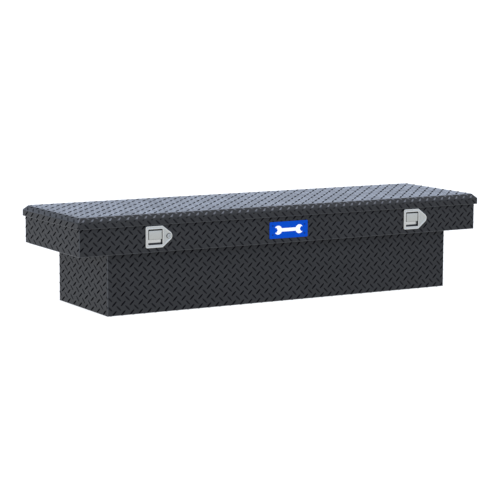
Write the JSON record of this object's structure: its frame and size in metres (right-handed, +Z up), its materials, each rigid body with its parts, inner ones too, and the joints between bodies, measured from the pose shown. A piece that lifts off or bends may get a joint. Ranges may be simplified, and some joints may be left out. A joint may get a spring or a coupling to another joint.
{
  "type": "truck tool box",
  "caption": "Low-profile crossover tool box for a pick-up bed: black tread-plate tub and saddle, one rear-hinged lid, two paddle latches, gas struts and a sliding tray.",
  "frame": {"origin": "centre of the overall footprint, on the plane of the tub's underside", "axes": "+X along the box towards the latch without a lock, +Y to the hinge side (the front with the latches faces -Y), +Z up"},
  "size_m": [1.7748, 0.503, 0.3751],
  "materials": {
    "tread_black": "satin black powder coat on aluminium tread plate",
    "pan_black": "satin black powder coat on smooth aluminium",
    "tray_black": "satin black powder coat on smooth aluminium",
    "foam": "rigid foam",
    "rubber": "black sponge rubber",
    "stainless": "brushed stainless steel",
    "zinc_steel": "zinc-plated steel",
    "hinge_steel": "stainless piano hinge",
    "rivet_aluminium": "aluminium rivets",
    "strut_black": "black painted steel tube",
    "bracket_black": "black painted steel",
    "chrome_rod": "hard chrome",
    "lock_chrome": "chrome-plated zinc",
    "badge_blue": "blue enamel on aluminium",
    "badge_white": "white inlay"
  },
  "bodies": {
    "tub": {"badge_emblem": "badge_white", "badge_plate": "badge_blue", "badge_rivets": "badge_blue", "hinge_pin": "zinc_steel", "hinge_tub_leaf": "hinge_steel", "hinge_tub_rivets": "rivet_aluminium", "latch_dish_left": "stainless", "latch_dish_right": "stainless", "latch_gasket_left": "rubber", "latch_gasket_right": "rubber", "latch_hook_pin_left": "zinc_steel", "latch_hook_pin_right": "zinc_steel", "latch_housing_left": "zinc_steel", "latch_housing_right": "zinc_steel", "latch_nuts_left": "zinc_steel", "latch_nuts_right": "zinc_steel", "latch_paddle_pin_left": "zinc_steel", "latch_paddle_pin_right": "zinc_steel", "latch_spring_left": "zinc_steel", "latch_spring_right": "zinc_steel", "lock_body": "lock_chrome", "lock_nut": "zinc_steel", "lower_tub_end_left": "tread_black", "lower_tub_end_right": "tread_black", "lower_tub_shell": "tread_black", "mouth_seal": "rubber", "saddle_back": "tread_black", "saddle_end_left": "tread_black", "saddle_end_right": "tread_black", "saddle_front": "tread_black", "strut_tub_bracket_left": "bracket_black", "strut_tub_bracket_right": "bracket_black", "wing_floor_left": "tread_black", "wing_floor_right": "tread_black"},
    "lid": {"lid_shell": "tread_black", "lid_end_left": "tread_black", "lid_end_right": "tread_black", "lid_foam_core": "foam", "lid_inner_pan": "pan_black", "hinge_lid_leaf": "hinge_steel", "hinge_lid_rivets": "rivet_aluminium", "striker_left": "zinc_steel", "striker_right": "zinc_steel", "striker_screws": "zinc_steel", "strut_lid_bracket_left": "bracket_black", "strut_lid_bracket_right": "bracket_black"},
    "lock_core": {"lock_plug": "lock_chrome", "lock_cam": "zinc_steel"},
    "tray": {"tool_tray": "tray_black", "tray_divider": "tray_black"},
    "strut_cylinder_left": {"strut_cylinder_left": "strut_black"},
    "strut_rod_left": {"strut_rod_left": "chrome_rod"},
    "paddle_left": {"latch_paddle_left": "stainless"},
    "hook_left": {"latch_hook_left": "zinc_steel"},
    "strut_cylinder_right": {"strut_cylinder_right": "strut_black"},
    "strut_rod_right": {"strut_rod_right": "chrome_rod"},
    "paddle_right": {"latch_paddle_right": "stainless"},
    "hook_right": {"latch_hook_right": "zinc_steel"}
  },
  "joints": [
    {"name": "lid_hinge", "type": "hinge", "parent": "tub", "child": "lid", "pos_m": [0, 0.2481, 0.3285], "axis": [-1, 0, 0], "range_deg": [0, 70]},
    {"name": "strut_pivot_left", "type": "hinge", "parent": "tub", "child": "strut_cylinder_left", "pos_m": [-0.836, 0, 0.254], "axis": [1, 0, 0], "range_deg": [0, 2.69]},
    {"name": "strut_slide_left", "type": "slide", "parent": "strut_cylinder_left", "child": "strut_rod_left", "axis": [0, 0.8824, 0.4706], "range_m": [0, 0.08115]},
    {"name": "paddle_left", "type": "hinge", "parent": "tub", "child": "paddle_left", "pos_m": [-0.5722, -0.2365, 0.308], "axis": [-1, 0, 0], "range_deg": [0, 24], "stiffness_Nm_per_rad": 0.4, "springref_deg": -5.73},
    {"name": "hook_left", "type": "hinge", "parent": "tub", "child": "hook_left", "pos_m": [-0.5722, -0.206, 0.3], "axis": [-1, 0, 0], "range_deg": [0, 20]},
    {"name": "strut_pivot_right", "type": "hinge", "parent": "tub", "child": "strut_cylinder_right", "pos_m": [0.836, 0, 0.254], "axis": [1, 0, 0], "range_deg": [0, 2.69]},
    {"name": "strut_slide_right", "type": "slide", "parent": "strut_cylinder_right", "child": "strut_rod_right", "axis": [0, 0.8824, 0.4706], "range_m": [0, 0.08115]},
    {"name": "paddle_right", "type": "hinge", "parent": "tub", "child": "paddle_right", "pos_m": [0.572, -0.2365, 0.308], "axis": [-1, 0, 0], "range_deg": [0, 24], "stiffness_Nm_per_rad": 0.4, "springref_deg": -5.73},
    {"name": "hook_right", "type": "hinge", "parent": "tub", "child": "hook_right", "pos_m": [0.572, -0.206, 0.3], "axis": [-1, 0, 0], "range_deg": [0, 20]},
    {"name": "lock_turn", "type": "hinge", "parent": "tub", "child": "lock_core", "pos_m": [-0.5162, -0.23, 0.2886], "axis": [0, 1, 0], "range_deg": [0, 90]},
    {"name": "tray_slide", "type": "slide", "parent": "tub", "child": "tray", "axis": [1, 0, 0], "range_m": [0, 1.04]}
  ],
  "couplings": [
    {"joint": "strut_pivot_left", "follows": "lid_hinge", "ratio": 0.038447},
    {"joint": "strut_slide_left", "follows": "lid_hinge", "m_per_rad": 0.06641},
    {"joint": "strut_pivot_right", "follows": "lid_hinge", "ratio": 0.038447},
    {"joint": "strut_slide_right", "follows": "lid_hinge", "m_per_rad": 0.06641}
  ]
}
